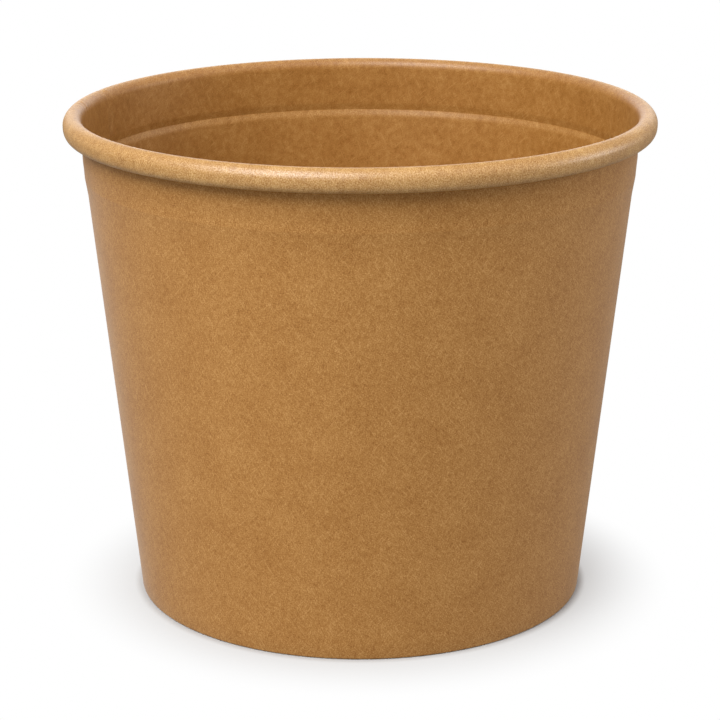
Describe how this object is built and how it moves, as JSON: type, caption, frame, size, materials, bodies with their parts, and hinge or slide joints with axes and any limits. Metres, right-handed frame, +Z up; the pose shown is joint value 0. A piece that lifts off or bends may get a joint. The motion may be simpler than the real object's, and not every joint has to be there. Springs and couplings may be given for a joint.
{
  "type": "chicken bucket",
  "caption": "Round tapered kraft paper food bucket with a rolled rim, a stacking bead under it, a lapped side seam and a bottom disc set up inside a hem; open top, no lid.",
  "frame": {"origin": "middle of the bucket's foot ring, on the floor", "axes": "+Z up along the bucket's axis, -Y towards the viewer of the picture, the side seam at the back left"},
  "size_m": [0.18, 0.18, 0.152],
  "materials": {
    "wall_board": "matte unbleached kraft board, faintly satin on the food side",
    "disc_board": "matte unbleached kraft board, faintly satin on the food side"
  },
  "bodies": {
    "root": {"sidewall": "wall_board", "bottom_disc": "disc_board"}
  },
  "joints": []
}
